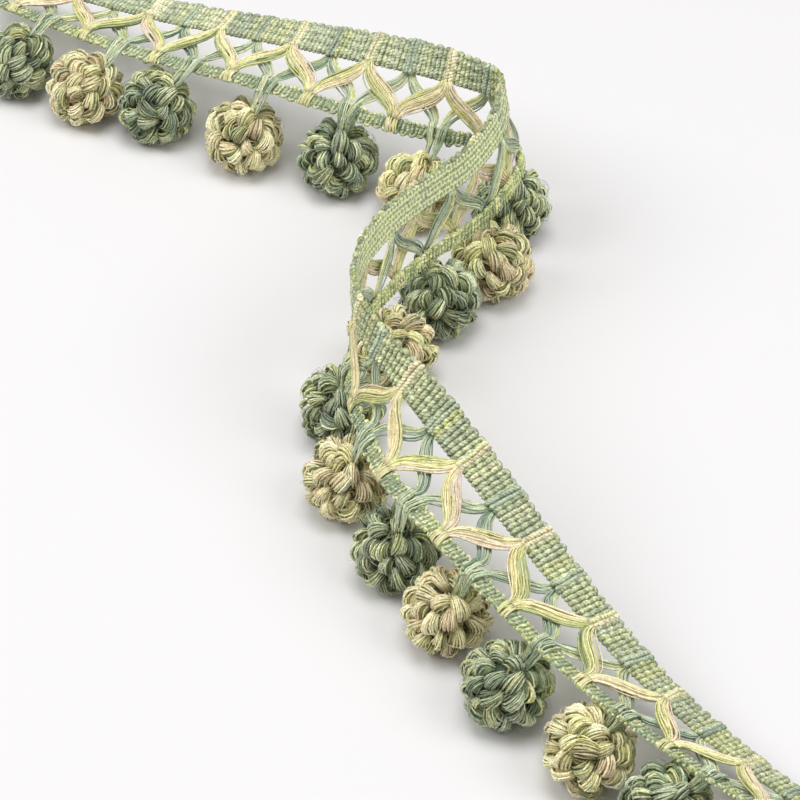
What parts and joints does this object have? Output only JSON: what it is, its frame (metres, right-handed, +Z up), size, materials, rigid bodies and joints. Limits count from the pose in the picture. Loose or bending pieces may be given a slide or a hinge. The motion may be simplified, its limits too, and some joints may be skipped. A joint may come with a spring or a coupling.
{
  "type": "bobble fringe trim",
  "caption": "Cut length of trim: woven heading, crossing cream and teal yarn zig-zags, a narrow braid and hanging looped-yarn bobbles, lying in an S on a flat surface.",
  "frame": {"origin": "on the surface it lies on, under the middle of its overall box", "axes": "+Z up from the surface, +Y along the longer side of the S from the near end to the far end, +X to the right of it"},
  "size_m": [0.285, 0.3896, 0.056],
  "materials": {
    "heading": "ribbed woven cotton in mixed light greens",
    "braid": "narrow ribbed braid in mixed light greens",
    "cream_yarn": "twisted yarn in cream, beige, pale yellow and olive",
    "teal_yarn": "twisted yarn in grey teal, green and yellow green"
  },
  "bodies": {
    "root": {"heading": "heading", "braid": "braid", "cream_lattice": "cream_yarn", "teal_lattice": "teal_yarn", "bobble_01": "cream_yarn", "bobble_02": "teal_yarn", "bobble_03": "cream_yarn", "bobble_04": "teal_yarn", "bobble_05": "cream_yarn", "bobble_06": "teal_yarn", "bobble_07": "cream_yarn", "bobble_08": "teal_yarn", "bobble_09": "cream_yarn", "bobble_10": "teal_yarn", "bobble_11": "cream_yarn", "bobble_12": "teal_yarn", "bobble_13": "cream_yarn", "bobble_14": "teal_yarn", "bobble_15": "cream_yarn", "bobble_16": "teal_yarn", "bobble_17": "cream_yarn", "bobble_18": "teal_yarn", "bobble_19": "cream_yarn", "hanger_01": "teal_yarn", "hanger_02": "teal_yarn", "hanger_03": "teal_yarn", "hanger_04": "teal_yarn", "hanger_05": "teal_yarn", "hanger_06": "teal_yarn", "hanger_07": "teal_yarn", "hanger_08": "teal_yarn", "hanger_09": "teal_yarn", "hanger_10": "teal_yarn", "hanger_11": "teal_yarn", "hanger_12": "teal_yarn", "hanger_13": "teal_yarn", "hanger_14": "teal_yarn", "hanger_15": "teal_yarn", "hanger_16": "teal_yarn", "hanger_17": "teal_yarn", "hanger_18": "teal_yarn", "hanger_19": "teal_yarn"}
  },
  "joints": []
}
